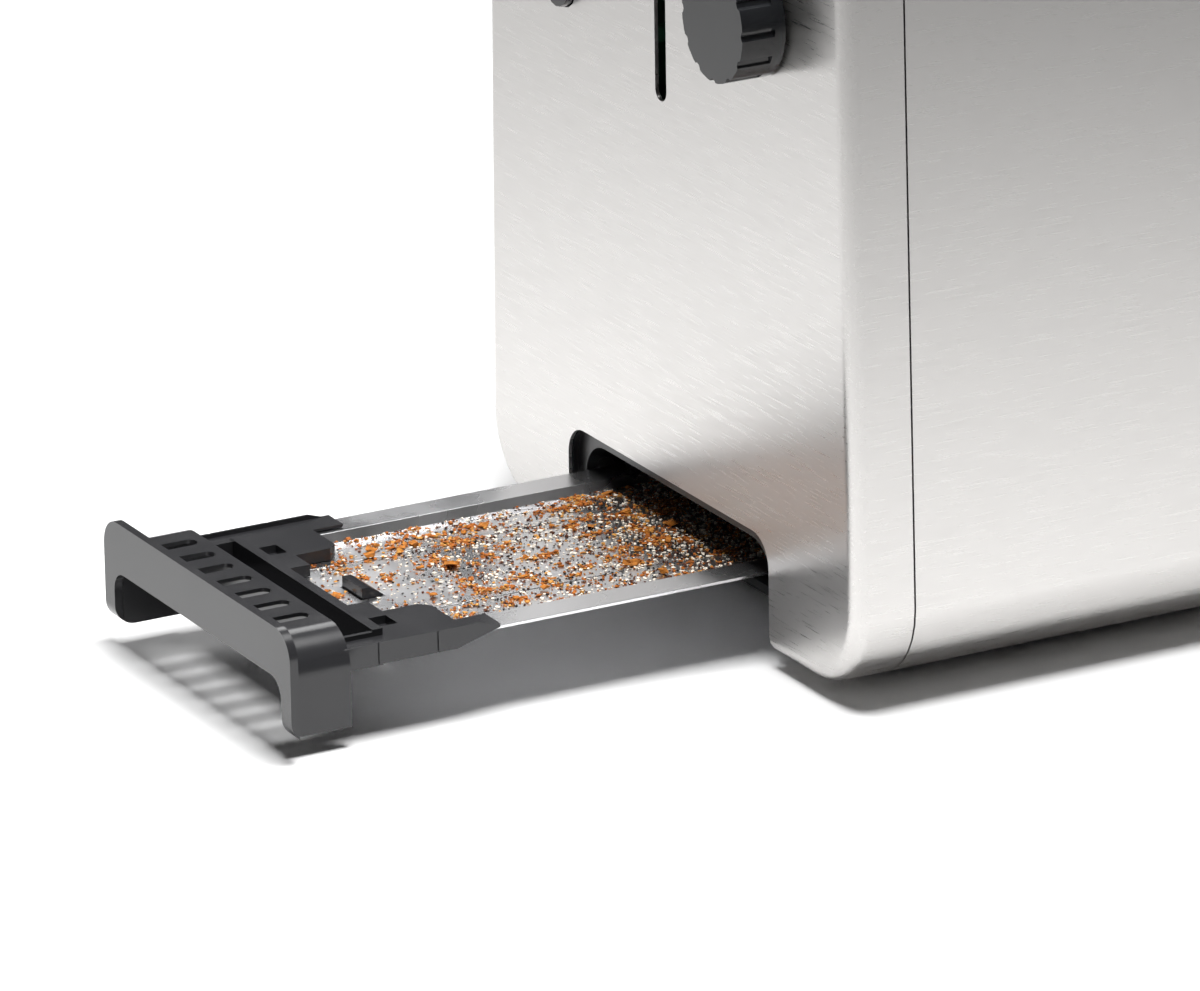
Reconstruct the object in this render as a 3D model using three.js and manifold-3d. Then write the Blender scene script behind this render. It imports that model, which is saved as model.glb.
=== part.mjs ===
// Two-slot pop-up toaster with a pull-out crumb tray, as an assembly of separate pieces.
// Millimetres, +Z up. The control end faces -X, the tray pulls out towards -X, and z = 0 is the
// surface that the feet stand on. Every piece is placed from the plane of the control end's face,
// and the whole assembly is then moved so that its origin is the centre of its footprint.
import * as THREE from "three";
import { mergeVertices } from "three/addons/utils/BufferGeometryUtils.js";
import Module from "manifold-3d";

// ---------------------------------------------------------------- driving dimensions
const GAP = 0.3;                 // air left between pieces that touch

// Steel body
const BODY_LENGTH = 305;
const BODY_WIDTH = 190;
const FOOT_HEIGHT = 4;           // body's underside above the table
const BODY_HEIGHT = 206;         // without the feet
const BOTTOM_RADIUS = 22.1;      // long lower edges
const TOP_RADIUS = 26;           // long upper edges
const SIDE_LEAN = 0.0102;        // the long sides lean in as they rise ...
const SIDE_BOW = 0.0000947;      // ... and bow slightly, per millimetre of height
const STEEL = 1;                 // sheet thickness of the body
const CAP_EDGE_RADIUS = 4.5;     // rounded rim of each end cap
const CAP_DEPTH = 16.6;          // end cap's depth, from its face to the seam
const SEAM = 0.5;                // open seam between an end cap and the wrap

// Opening for the tray in the control end, an arch that is open at the bottom
const OPENING_WIDTH = 103.6;
const OPENING_TOP = 29.9;        // above the body's underside
const OPENING_RADIUS = 8;
const LINER_RECESS = 2.9;        // the liner's lip, behind the face
const LINER_INSET = 3.8;         // the lip, inside the opening
const LINER_WALL = 2;
const LINER_DEPTH = 20;

// Crumb tray: a black moulded handle on a sheet-metal pan
const TRAY_PULL = 131.7;         // how far the tray is pulled out at rest
const TRAY_TAIL_ROOM = 75;       // behind the pushed-in tray
const PLATE_THICKNESS = 2.2;     // handle's front plate
const PLATE_CLEARANCE = 0.5;     // round the plate, inside the opening
const ARCH_DROP = 13.6;          // underside of the plate's middle, below the opening's top
const LEG_WIDTH = 5.3;
const HANDLE_DEPTH = 18.4;
const HANDLE_CLEARANCE = 0.7;    // round the handle's body, inside the liner's lip
const HANDLE_RADIUS = 10;
const HANDLE_WALL = 1.8;
const VENT_COUNT = 7;
const VENT_PITCH = 10.2;
const VENT_WIDTH = 4.3;
const VENT_LENGTH = 8.9;
const VENT_START = 6.8;          // behind the plate's front face
const PAN_SIDE_CLEARANCE = 3;    // beside the pan, inside the liner's lip
const PAN_DROP = 7.3;            // the pan's flanges, below the lip
const PAN_FLANGE = 8.8;
const PAN_DEPTH = 2.4;
const PAN_WALL_RUN = 1.6;        // how far the pan's walls slope in
const PAN_SHEET = 0.8;
const PAN_START = 32.2;          // behind the plate's front face
const CREASE_HALF_PITCH = 20.2;  // the two pressed lines along the pan
const CREASE_WIDTH = 0.7;
const CREASE_DEPTH = 0.35;
const TAIL_INSET = 3;            // turned-up tail, inside the pan's walls
const STRIP_RISE = 2.2;          // edge strips that clip over the flanges, above the flanges
const STRIP_INSET = 6.4;         // a strip's inner edge, inside the pan's edge
const STRIP_WALL = 0.7;
const STRIP_LIP = 3.4;           // how far the strip's wall laps down beside the pan
const STRIP_END = 60;
const STRIP_TOP_SLOPE = 6;       // the wall's end slopes in, above and below the flange
const STRIP_FOOT_SLOPE = 12;
const STRIP_JOINTS = [26.6, 42.8]; // thin upright grooves in the strip's outer face
const JOINT_WIDTH = 0.5;
const JOINT_DEPTH = 0.35;
const PAD_RISE = 1;              // corner pads that lie on the pan, above the flanges
const PAD_SHORT_END = 39.3;
const PAD_LONG_END = 51.5;
const PAD_SHORT_INSET = 20.7;    // the pads' inner edges, inside the pan's walls
const PAD_LONG_INSET = 12.7;
const PAD_OUTER_INSET = 2.6;
const PAD_CHAMFER = 2.5;
const CLIP_POCKET = 4.8;
const RIDGE_RISE = 2.8;          // the ridge behind the channel, above the flanges
const RIDGE_START = 28.8;
const RIDGE_WIDTH = 2.8;
const CHANNEL_DROP = 6.8;        // the channel's floor, below the flanges
const CHANNEL_SHEET = 1.5;
const DECK_THICKNESS = 1;
const FOOT_CLEARANCE = 1.4;      // the handle's legs, above the body's underside
const TONGUE_START = 43;         // wedge that snaps up through the pan
const TONGUE_LENGTH = 5.8;
const TONGUE_FLAT = 2.4;
const TONGUE_WIDTH = 10.6;
const TONGUE_RISE = 2.8;

// Base
const BASE_THICKNESS = 2.5;
const RAIL_CLEARANCE = 0.6;      // beside and below the tray
const RAIL_WALL = 2;
const RAIL_LEDGE = 0.8;          // thickness of the ledge's lips
const BASE_VENT_COUNT = 5;
const BASE_VENT_PITCH = 30;
const BASE_VENT_WIDTH = 8;
const BASE_VENT_HALF_LENGTH = 28;
const STEM_RADIUS = 3;
const STEM_PROUD = 3;            // a foot's stem, above the base
const FOOT_RADIUS = 8;
const FOOT_INSET_X = 38;         // from each end of the body
const FOOT_INSET_Y = 37;         // from each long side
const SCREW_RADIUS = 1.6;
const SCREW_HEAD_RADIUS = 3.2;
const SCREW_INSET_X = 30;
const SCREW_INSET_Y = 28;

// Bread chamber
const FRONT_BAY = 72;            // between the control end's face and the chamber
const REAR_BAY = 57;             // between the chamber and the cord end's face
const SLOT_WIDTH = 31;
const SLOT_HALF_PITCH = 27.5;
const CHAMBER_MARGIN = 12;       // between a slot's end and the bulkhead
const BULKHEAD = 1;
const REFLECTOR_OFFSET = 14;     // from a slot's outer edge to the reflector
const HEATER_SHEET = 1.2;
const HEATER_OFFSET = 8;         // from a slot's edge to the heater board
const GUIDE_WIRE = 1.8;
const GUIDE_TRAVEL = 6;          // each guide closes on the bread by this much
const GUIDE_WIRES = 8;
const TRAY_HEADROOM = 2;         // from the tray's ridge to what hangs over it
const TOP_FRAME_BORDER = 8;
const TOP_FRAME_THICKNESS = 3.4;
const TOP_FRAME_PROUD = 0.6;
const TOP_FRAME_RADIUS = 7;
const FUNNEL_DEPTH = 7;
const FUNNEL_WALL = 1.3;

// Lever and carriage
const LEVER_TRAVEL = 55;
const LEVER_SLOT_WIDTH = 5.7;
const LEVER_BELOW_TOP = 17.5;    // the arm at its upper stop, below the body's top
const LEVER_SLOT_MARGIN = 1;     // above and below the arm at its two stops
const ARM_WIDTH = 4;
const ARM_HEIGHT = 7;
const KNOB_WIDTH = 34;
const KNOB_HEIGHT = 15;
const KNOB_DEPTH = 15;
const KNOB_RADIUS = 5;
const KNOB_STANDOFF = 2.6;       // knob's back, in front of the face
const CARRIAGE_SHEET = 1.5;
const CARRIAGE_TO_BULKHEAD = 9;
const CARRIAGE_HALF_WIDTH = 13;
const REST_FOOT = 6;             // from a bread rest to its carriage's lower edge
const REST_WIDTH = 11;
const REST_THICKNESS = 3;
const REST_RIBS = 7;
const ROD_RADIUS = 2.5;
const ROD_OFFSET_Y = 8;
const SPRING_RADIUS = 3.2;
const SPRING_WIRE = 0.55;
const SPRING_TURNS = 9;
const SPRING_LENGTH = 50.5;      // from the carriage's lug to the bracket, at rest
const MAGNET_HEIGHT = 14;

// Controls on the end face
const CONTROL_INSET_Y = 45;      // dial and buttons, from the body's long sides
const CONTROL_BELOW_TOP = 42;
const DIAL_RADIUS = 15;
const DIAL_DEPTH = 12;
const DIAL_FLUTES = 12;
const DIAL_SHAFT_RADIUS = 3;
const BUTTON_COUNT = 3;
const BUTTON_PITCH = 17;
const BUTTON_RADIUS = 6;
const BUTTON_PROUD = 2.4;
const BUTTON_FLANGE = 1.6;
const BUTTON_CLEARANCE = 0.4;
const BOARD_X = 24;              // control board, behind the face
const BOARD_SHEET = 1.6;
const BOARD_INSET_Y = 21;        // board's edge, from the body's long side
const GLAND_RADIUS = 8;
const GLAND_BORE = 3.6;
const GLAND_PROUD = 3;

// ---------------------------------------------------------------- worked-out places
const HALF_WIDTH = BODY_WIDTH / 2;
const UNDERSIDE = FOOT_HEIGHT;
const BODY_TOP = UNDERSIDE + BODY_HEIGHT;
const OPENING_HALF = OPENING_WIDTH / 2;
const OPENING_Z = UNDERSIDE + OPENING_TOP;
const LIP_HALF = OPENING_HALF - LINER_INSET;
const LIP_Z = OPENING_Z - LINER_INSET;
const BASE_TOP = UNDERSIDE + BASE_THICKNESS;
const TRAY_LENGTH = BODY_LENGTH - TRAY_TAIL_ROOM;
const PAN_HALF_WIDTH = LIP_HALF - PAN_SIDE_CLEARANCE;
const PAN_FLANGE_TOP = LIP_Z - PAN_DROP;
const PAN_FLOOR = PAN_FLANGE_TOP - PAN_DEPTH;
const PAN_WALL_TOP = PAN_HALF_WIDTH - PAN_FLANGE;
const STRIP_TOP = PAN_FLANGE_TOP + STRIP_RISE;
const STRIP_INNER = PAN_HALF_WIDTH - STRIP_INSET;
const STRIP_OUTER = PAN_HALF_WIDTH + STRIP_WALL + GAP;
const PAD_TOP = PAN_FLANGE_TOP + PAD_RISE;
const RIDGE_TOP = PAN_FLANGE_TOP + RIDGE_RISE;
const CHANNEL_FLOOR = PAN_FLANGE_TOP - CHANNEL_DROP;
const BASE_HALF_WIDTH = HALF_WIDTH - BOTTOM_RADIUS - GAP;
const CHAMBER_START = FRONT_BAY;
const CHAMBER_END = BODY_LENGTH - REAR_BAY;
const SLOT_CENTRE_X = (CHAMBER_START + CHAMBER_END) / 2;
const SLOT_LENGTH = CHAMBER_END - CHAMBER_START - 2 * CHAMBER_MARGIN;
const REFLECTOR_Y = SLOT_HALF_PITCH + SLOT_WIDTH / 2 + REFLECTOR_OFFSET;
const SHELF_Z = RIDGE_TOP + TRAY_HEADROOM;
const FRAME_BOTTOM = BODY_TOP + TOP_FRAME_PROUD - TOP_FRAME_THICKNESS;
const CHAMBER_TOP = FRAME_BOTTOM - FUNNEL_DEPTH - 1;
const RAIL_INNER = STRIP_INNER + RAIL_CLEARANCE;
const RAIL_OUTER = STRIP_OUTER + RAIL_CLEARANCE;
const ARM_Z = BODY_TOP - LEVER_BELOW_TOP;
const SLOT_REACH = ARM_HEIGHT / 2 + LEVER_SLOT_MARGIN;
const CARRIAGE_X = CHAMBER_START - CARRIAGE_TO_BULKHEAD;
const REST_Z = SHELF_Z + LEVER_TRAVEL + REST_FOOT;
const ROD_X = CARRIAGE_X - 6;
const CONTROL_Z = BODY_TOP - CONTROL_BELOW_TOP;
const CONTROL_OFFSET_Y = HALF_WIDTH - CONTROL_INSET_Y;
const MAGNET_TOP = SHELF_Z + CARRIAGE_SHEET + GAP + MAGNET_HEIGHT;

// ---------------------------------------------------------------- solids
const wasm = await Module();
wasm.setup();

// A closed three.js geometry as a solid that can be cut and joined.
function solid(geometry) {
  const bare = new THREE.BufferGeometry();
  bare.setAttribute("position", geometry.getAttribute("position"));
  bare.setIndex(geometry.getIndex());
  const merged = mergeVertices(bare, 1e-4);
  return new wasm.Manifold(new wasm.Mesh({
    numProp: 3,
    vertProperties: new Float32Array(merged.getAttribute("position").array),
    triVerts: new Uint32Array(merged.getIndex().array),
  }));
}

// A solid back as a three.js geometry.
function geometryOf(body) {
  const mesh = body.getMesh();
  const geometry = new THREE.BufferGeometry();
  geometry.setAttribute("position", new THREE.BufferAttribute(mesh.vertProperties, 3));
  geometry.setIndex(new THREE.BufferAttribute(mesh.triVerts, 1));
  geometry.computeVertexNormals();
  return geometry;
}

function join(...bodies) {
  return bodies.reduce((whole, piece) => whole.add(piece));
}

function cut(body, ...tools) {
  return tools.reduce((rest, tool) => rest.subtract(tool), body);
}

// A rectangular block from its limits along X, Y and Z.
function block([x0, x1], [y0, y1], [z0, z1]) {
  const geometry = new THREE.BoxGeometry(x1 - x0, y1 - y0, z1 - z0);
  return solid(geometry.translate((x0 + x1) / 2, (y0 + y1) / 2, (z0 + z1) / 2));
}

// The same block on both sides of the middle plane, from its limits on the +Y side.
function blockPair(x, [y0, y1], z) {
  return [block(x, [y0, y1], z), block(x, [-y1, -y0], z)];
}

// An outline extruded along one axis. Along X it is drawn in (y, z), along Y in (x, z) and
// along Z in (x, y).
function prism(shape, axis, [from, to], segments = 4) {
  const geometry = new THREE.ExtrudeGeometry(shape, {
    depth: to - from, bevelEnabled: false, curveSegments: segments,
  });
  const basis = new THREE.Matrix4();
  if (axis === "x") {
    basis.makeBasis(new THREE.Vector3(0, 1, 0), new THREE.Vector3(0, 0, 1), new THREE.Vector3(1, 0, 0));
    basis.setPosition(from, 0, 0);
  } else if (axis === "y") {
    basis.makeBasis(new THREE.Vector3(1, 0, 0), new THREE.Vector3(0, 0, 1), new THREE.Vector3(0, -1, 0));
    basis.setPosition(0, to, 0);
  } else {
    basis.makeTranslation(0, 0, from);
  }
  return solid(geometry.applyMatrix4(basis));
}

// A round bar along an axis, centred on a line through the given point.
function rod(radius, axis, [from, to], [u, v], sides = 16) {
  const geometry = new THREE.CylinderGeometry(radius, radius, to - from, sides);
  const middle = (from + to) / 2;
  if (axis === "x") {
    return solid(geometry.rotateZ(-Math.PI / 2).translate(middle, u, v));
  }
  return solid(geometry.rotateX(Math.PI / 2).translate(u, v, middle));
}

function polygon(points) {
  return new THREE.Shape(points.map(([u, v]) => new THREE.Vector2(u, v)));
}

// A rectangle with round corners.
function roundedRectangle([u0, u1], [v0, v1], radius) {
  const shape = new THREE.Shape();
  shape.absarc(u1 - radius, v0 + radius, radius, -Math.PI / 2, 0);
  shape.absarc(u1 - radius, v1 - radius, radius, 0, Math.PI / 2);
  shape.absarc(u0 + radius, v1 - radius, radius, Math.PI / 2, Math.PI);
  shape.absarc(u0 + radius, v0 + radius, radius, Math.PI, 1.5 * Math.PI);
  shape.closePath();
  return shape;
}

// An upright rectangle whose two upper corners are round.
function archOutline(half, bottom, top, radius) {
  const shape = new THREE.Shape();
  shape.moveTo(-half, bottom);
  shape.lineTo(half, bottom);
  shape.absarc(half - radius, top - radius, radius, 0, Math.PI / 2);
  shape.absarc(-half + radius, top - radius, radius, Math.PI / 2, Math.PI);
  shape.closePath();
  return shape;
}

// How far in a long side stands at a height above the lower edge's radius.
function sideShift(z) {
  const rise = Math.max(0, z - UNDERSIDE - BOTTOM_RADIUS);
  return SIDE_LEAN * rise + SIDE_BOW * rise * rise;
}

// The body's section across its length, as (y, z) points, set in from the outer skin.
function bodySection(inset) {
  const cornerSteps = 8;
  const sideSteps = 6;
  const lowerZ = UNDERSIDE + BOTTOM_RADIUS;
  const upperZ = BODY_TOP - TOP_RADIUS;
  const lowerY = HALF_WIDTH - BOTTOM_RADIUS;
  const upperY = HALF_WIDTH - sideShift(upperZ) - TOP_RADIUS;
  const side = [];
  for (let i = 0; i <= cornerSteps; i += 1) {
    const angle = (i / cornerSteps - 1) * Math.PI / 2;
    const radius = BOTTOM_RADIUS - inset;
    side.push([lowerY + radius * Math.cos(angle), lowerZ + radius * Math.sin(angle)]);
  }
  for (let i = 1; i < sideSteps; i += 1) {
    const z = lowerZ + (upperZ - lowerZ) * i / sideSteps;
    side.push([HALF_WIDTH - inset - sideShift(z), z]);
  }
  for (let i = 0; i <= cornerSteps; i += 1) {
    const angle = i / cornerSteps * Math.PI / 2;
    const radius = TOP_RADIUS - inset;
    side.push([upperY + radius * Math.cos(angle), upperZ + radius * Math.sin(angle)]);
  }
  const mirrored = side.map(([y, z]) => [-y, z]).reverse();
  return [...side, ...mirrored];
}

// A solid through a row of sections that share one number of points.
function loft(sections) {
  const count = sections[0].outline.length;
  const positions = sections.flatMap(({ x, outline }) => outline.flatMap(([y, z]) => [x, y, z]));
  const faces = [];
  for (let k = 0; k + 1 < sections.length; k += 1) {
    for (let i = 0; i < count; i += 1) {
      const a = k * count + i;
      const b = k * count + (i + 1) % count;
      faces.push(a, b, b + count, a, b + count, a + count);
    }
  }
  const contour = sections[0].outline.map(([y, z]) => new THREE.Vector2(y, z));
  const last = (sections.length - 1) * count;
  for (const [a, b, c] of THREE.ShapeUtils.triangulateShape(contour, [])) {
    faces.push(a, c, b, last + a, last + b, last + c);
  }
  const geometry = new THREE.BufferGeometry();
  geometry.setAttribute("position", new THREE.Float32BufferAttribute(positions, 3));
  geometry.setIndex(faces);
  return solid(geometry);
}

// The same solid mirrored end for end, from the control end to the cord end.
function atCordEnd(body) {
  return body.mirror([1, 0, 0]).translate([BODY_LENGTH, 0, 0]);
}

// ---------------------------------------------------------------- materials
function material(color, roughness, metalness) {
  return new THREE.MeshStandardMaterial({ color, roughness, metalness });
}

const brushedSteel = material(0xc9c8c6, 0.3, 1);
const plainSteel = material(0xb9bbbd, 0.35, 1);
const blackPlastic = material(0x1f2021, 0.38, 0);
const glossPlastic = material(0x121314, 0.15, 0);
const rubber = material(0x1c1c1c, 0.8, 0);
const mica = material(0xb9a98a, 0.6, 0);
const wireSteel = material(0xa9abad, 0.3, 1);
const boardGreen = material(0x1d5a3a, 0.5, 0);
const copper = material(0xa8622f, 0.35, 1);

const toaster = new THREE.Group();

function piece(name, body, finish, parent = toaster) {
  const mesh = new THREE.Mesh(geometryOf(body), finish);
  mesh.name = name;
  parent.add(mesh);
  return mesh;
}

// ---------------------------------------------------------------- steel body
// One end cap: a pressed pan whose rim is rounded, open towards the middle of the body.
function endCap() {
  const rimSteps = 4;
  const outer = [];
  const inner = [];
  for (let i = 0; i <= rimSteps; i += 1) {
    const angle = i / rimSteps * Math.PI / 2;
    const back = 1 - Math.cos(angle);
    const inward = 1 - Math.sin(angle);
    const innerRadius = CAP_EDGE_RADIUS - STEEL;
    outer.push({ x: CAP_EDGE_RADIUS * back, outline: bodySection(CAP_EDGE_RADIUS * inward) });
    inner.push({ x: STEEL + innerRadius * back, outline: bodySection(STEEL + innerRadius * inward) });
  }
  outer.push({ x: CAP_DEPTH - SEAM / 2, outline: bodySection(0) });
  inner.push({ x: CAP_DEPTH + 1, outline: bodySection(STEEL) });
  return cut(loft(outer), loft(inner));
}

const leverSlot = roundedRectangle(
  [-LEVER_SLOT_WIDTH / 2, LEVER_SLOT_WIDTH / 2],
  [ARM_Z - LEVER_TRAVEL - SLOT_REACH, ARM_Z + SLOT_REACH],
  LEVER_SLOT_WIDTH / 2 - 0.01,
);
const buttonHeights = Array.from({ length: BUTTON_COUNT },
  (_, i) => CONTROL_Z + (i - (BUTTON_COUNT - 1) / 2) * BUTTON_PITCH);
const throughFace = [-1, STEEL + 1];

piece("front_end_cap", cut(
  endCap(),
  prism(archOutline(OPENING_HALF, UNDERSIDE - 1, OPENING_Z, OPENING_RADIUS), "x", [-1, CAP_DEPTH + 1]),
  prism(leverSlot, "x", throughFace),
  rod(DIAL_SHAFT_RADIUS + BUTTON_CLEARANCE, "x", throughFace, [-CONTROL_OFFSET_Y, CONTROL_Z]),
  ...buttonHeights.map((z) => rod(BUTTON_RADIUS + BUTTON_CLEARANCE, "x", throughFace, [CONTROL_OFFSET_Y, z])),
), brushedSteel);

// The cord leaves through the other end cap.
const glandY = CONTROL_OFFSET_Y;
const glandZ = UNDERSIDE + BOTTOM_RADIUS + GLAND_RADIUS;
const glandHole = rod(GLAND_RADIUS - 2, "x", [BODY_LENGTH - STEEL - 1, BODY_LENGTH + 1], [glandY, glandZ]);
piece("rear_end_cap", cut(atCordEnd(endCap()), glandHole), brushedSteel);

// The wrap is one sheet that runs up one side, over the top and down the other.
const wrapStart = CAP_DEPTH + SEAM / 2;
const wrapEnd = BODY_LENGTH - wrapStart;
const frameHalfLength = SLOT_LENGTH / 2 + TOP_FRAME_BORDER;
const frameHalfWidth = SLOT_HALF_PITCH + SLOT_WIDTH / 2 + TOP_FRAME_BORDER;
const topOpening = roundedRectangle(
  [SLOT_CENTRE_X - frameHalfLength - GAP, SLOT_CENTRE_X + frameHalfLength + GAP],
  [-frameHalfWidth - GAP, frameHalfWidth + GAP],
  TOP_FRAME_RADIUS + GAP,
);
piece("body_wrap", cut(
  prism(polygon(bodySection(0)), "x", [wrapStart, wrapEnd]),
  prism(polygon(bodySection(STEEL)), "x", [wrapStart - 1, wrapEnd + 1]),
  block([wrapStart - 1, wrapEnd + 1], [-BASE_HALF_WIDTH - GAP, BASE_HALF_WIDTH + GAP],
    [UNDERSIDE - 1, UNDERSIDE + STEEL + 1]),
  prism(topOpening, "z", [BODY_TOP - STEEL - 1, BODY_TOP + 1]),
), brushedSteel);

// The frame round the bread slots, with a short funnel down from each slot.
const slotEnds = [SLOT_CENTRE_X - SLOT_LENGTH / 2, SLOT_CENTRE_X + SLOT_LENGTH / 2];
function slotOutline(side, grow) {
  const middle = side * SLOT_HALF_PITCH;
  return roundedRectangle(
    [slotEnds[0] - grow, slotEnds[1] + grow],
    [middle - SLOT_WIDTH / 2 - grow, middle + SLOT_WIDTH / 2 + grow],
    4 + grow,
  );
}
const framePlate = prism(roundedRectangle(
  [SLOT_CENTRE_X - frameHalfLength, SLOT_CENTRE_X + frameHalfLength],
  [-frameHalfWidth, frameHalfWidth],
  TOP_FRAME_RADIUS,
), "z", [FRAME_BOTTOM, BODY_TOP + TOP_FRAME_PROUD]);
const funnels = [-1, 1].map((side) => prism(slotOutline(side, FUNNEL_WALL), "z",
  [FRAME_BOTTOM - FUNNEL_DEPTH, FRAME_BOTTOM + 1]));
const slotHoles = [-1, 1].map((side) => prism(slotOutline(side, 0), "z",
  [FRAME_BOTTOM - FUNNEL_DEPTH - 1, BODY_TOP + TOP_FRAME_PROUD + 1]));
piece("top_slot_frame", cut(join(framePlate, ...funnels), ...slotHoles), glossPlastic);

// ---------------------------------------------------------------- base, rails, feet and screws
const footPlaces = [-1, 1].flatMap((end) => [-1, 1].map((side) => ({
  name: `${end < 0 ? "front" : "rear"}_${side < 0 ? "right" : "left"}`,
  footX: end < 0 ? FOOT_INSET_X : BODY_LENGTH - FOOT_INSET_X,
  footY: side * (HALF_WIDTH - FOOT_INSET_Y),
  screwX: end < 0 ? SCREW_INSET_X : BODY_LENGTH - SCREW_INSET_X,
  screwY: side * (HALF_WIDTH - SCREW_INSET_Y),
})));
const stemTop = BASE_TOP + STEM_PROUD;
const railStart = LINER_DEPTH + 1.5;
const railEnd = TRAY_LENGTH + 10;
const railTop = SHELF_Z - 1.6;
const ledgeTop = PAN_FLANGE_TOP - PAN_SHEET - RAIL_CLEARANCE;
const ledgeFoot = ledgeTop - RAIL_LEDGE;
const ledgeLip = RAIL_INNER + RAIL_LEDGE;
const ledgeEnd = RAIL_INNER + 4.3;
const grooveFloor = PAN_FLANGE_TOP - STRIP_LIP - RAIL_CLEARANCE;
const railOutline = polygon([
  [RAIL_INNER, BASE_TOP - 1],
  [RAIL_OUTER + RAIL_WALL, BASE_TOP - 1],
  [RAIL_OUTER + RAIL_WALL, railTop],
  [RAIL_OUTER, railTop],
  [RAIL_OUTER, grooveFloor],
  [ledgeEnd, grooveFloor],
  [ledgeEnd, ledgeTop],
  [ledgeLip, ledgeTop],
  [ledgeLip, ledgeFoot],
  [RAIL_INNER, ledgeFoot],
]);
const rail = prism(railOutline, "x", [railStart, railEnd]);
const baseStart = LINER_DEPTH + GAP;
const throughBase = [UNDERSIDE - 1, stemTop + 1];
const baseVents = Array.from({ length: BASE_VENT_COUNT }, (_, i) => {
  const middle = SLOT_CENTRE_X + (i - (BASE_VENT_COUNT - 1) / 2) * BASE_VENT_PITCH;
  return block([middle - BASE_VENT_WIDTH / 2, middle + BASE_VENT_WIDTH / 2],
    [-BASE_VENT_HALF_LENGTH, BASE_VENT_HALF_LENGTH], throughBase);
});
piece("base_plate", cut(
  join(
    block([baseStart, wrapEnd], [-BASE_HALF_WIDTH, BASE_HALF_WIDTH], [UNDERSIDE, BASE_TOP]),
    rail,
    rail.mirror([0, 1, 0]),
  ),
  ...baseVents,
  ...footPlaces.map((at) => rod(STEM_RADIUS + GAP, "z", throughBase, [at.footX, at.footY])),
  ...footPlaces.map((at) => rod(SCREW_RADIUS + GAP, "z", throughBase, [at.screwX, at.screwY])),
  ...footPlaces.map((at) => rod(SCREW_HEAD_RADIUS + GAP, "z", [UNDERSIDE - 1, UNDERSIDE + 1.3],
    [at.screwX, at.screwY])),
), blackPlastic);

for (const at of footPlaces) {
  piece(`foot_${at.name}`, join(
    rod(FOOT_RADIUS, "z", [0, FOOT_HEIGHT - GAP], [at.footX, at.footY]),
    rod(STEM_RADIUS, "z", [1, stemTop], [at.footX, at.footY]),
  ), rubber);
  piece(`screw_${at.name}`, join(
    rod(SCREW_HEAD_RADIUS, "z", [UNDERSIDE - 0.5, UNDERSIDE + 1], [at.screwX, at.screwY], 16),
    rod(SCREW_RADIUS, "z", [UNDERSIDE, BASE_TOP + 7], [at.screwX, at.screwY], 12),
  ), plainSteel);
}

// ---------------------------------------------------------------- tray opening
// The liner stands behind the steel edge: a shallow reveal, a lip, then the way in.
const linerFoot = UNDERSIDE + CAP_EDGE_RADIUS + GAP;
piece("tray_liner", cut(
  prism(
    archOutline(OPENING_HALF + LINER_WALL, linerFoot, OPENING_Z + LINER_WALL, OPENING_RADIUS + LINER_WALL),
    "x",
    [STEEL + GAP, LINER_DEPTH],
  ),
  prism(archOutline(OPENING_HALF, linerFoot - 1, OPENING_Z, OPENING_RADIUS), "x", [0, LINER_RECESS]),
  prism(archOutline(LIP_HALF, linerFoot - 1, LIP_Z, HANDLE_RADIUS), "x", [LINER_RECESS - 1, LINER_DEPTH + 1]),
), blackPlastic);

// ---------------------------------------------------------------- crumb tray
const tray = new THREE.Group();
tray.position.x = -TRAY_PULL;
toaster.add(tray);

const plateHalf = OPENING_HALF - PLATE_CLEARANCE;
const plateTop = OPENING_Z - PLATE_CLEARANCE;
const archZ = OPENING_Z - ARCH_DROP;
const archHalf = plateHalf - LEG_WIDTH;
const plateFoot = UNDERSIDE + FOOT_CLEARANCE + 0.8;
const handleHalf = LIP_HALF - HANDLE_CLEARANCE;
const deckTop = LIP_Z - HANDLE_CLEARANCE + 0.3;
const handleFoot = UNDERSIDE + FOOT_CLEARANCE;
const hollowHalf = handleHalf - HANDLE_WALL;
const ridgeBack = RIDGE_START + RIDGE_WIDTH;
const padFoot = PAN_FLOOR + GAP;
const stripFoot = PAN_FLANGE_TOP + GAP;

// Handle: front plate, the hollow body behind it, and the tongue's spine under the pan.
const frontPlate = cut(
  prism(archOutline(plateHalf, plateFoot, plateTop, OPENING_RADIUS - PLATE_CLEARANCE), "x",
    [0, PLATE_THICKNESS]),
  prism(archOutline(archHalf, plateFoot - 1, archZ, LEG_WIDTH), "x", [-1, PLATE_THICKNESS + 1]),
);
const handleShell = cut(
  prism(archOutline(handleHalf, handleFoot, deckTop, HANDLE_RADIUS), "x",
    [PLATE_THICKNESS - 0.5, HANDLE_DEPTH]),
  prism(archOutline(hollowHalf, handleFoot - 1, deckTop - DECK_THICKNESS, HANDLE_RADIUS - HANDLE_WALL), "x",
    [PLATE_THICKNESS, HANDLE_DEPTH - 2]),
  block([HANDLE_DEPTH - 3, HANDLE_DEPTH + 1], [-hollowHalf, hollowHalf], [handleFoot - 1, CHANNEL_FLOOR]),
  block([0, PLATE_THICKNESS], [-archHalf, archHalf], [handleFoot - 1, archZ]),
);

// The lower front corner of each leg is rounded back.
const legCorner = new THREE.Shape();
legCorner.moveTo(-1, handleFoot - 1);
legCorner.lineTo(LEG_WIDTH, handleFoot - 1);
legCorner.lineTo(LEG_WIDTH, handleFoot);
legCorner.absarc(LEG_WIDTH, handleFoot + LEG_WIDTH, LEG_WIDTH, -Math.PI / 2, -Math.PI, true);
legCorner.lineTo(-1, handleFoot + LEG_WIDTH);
legCorner.closePath();

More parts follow.
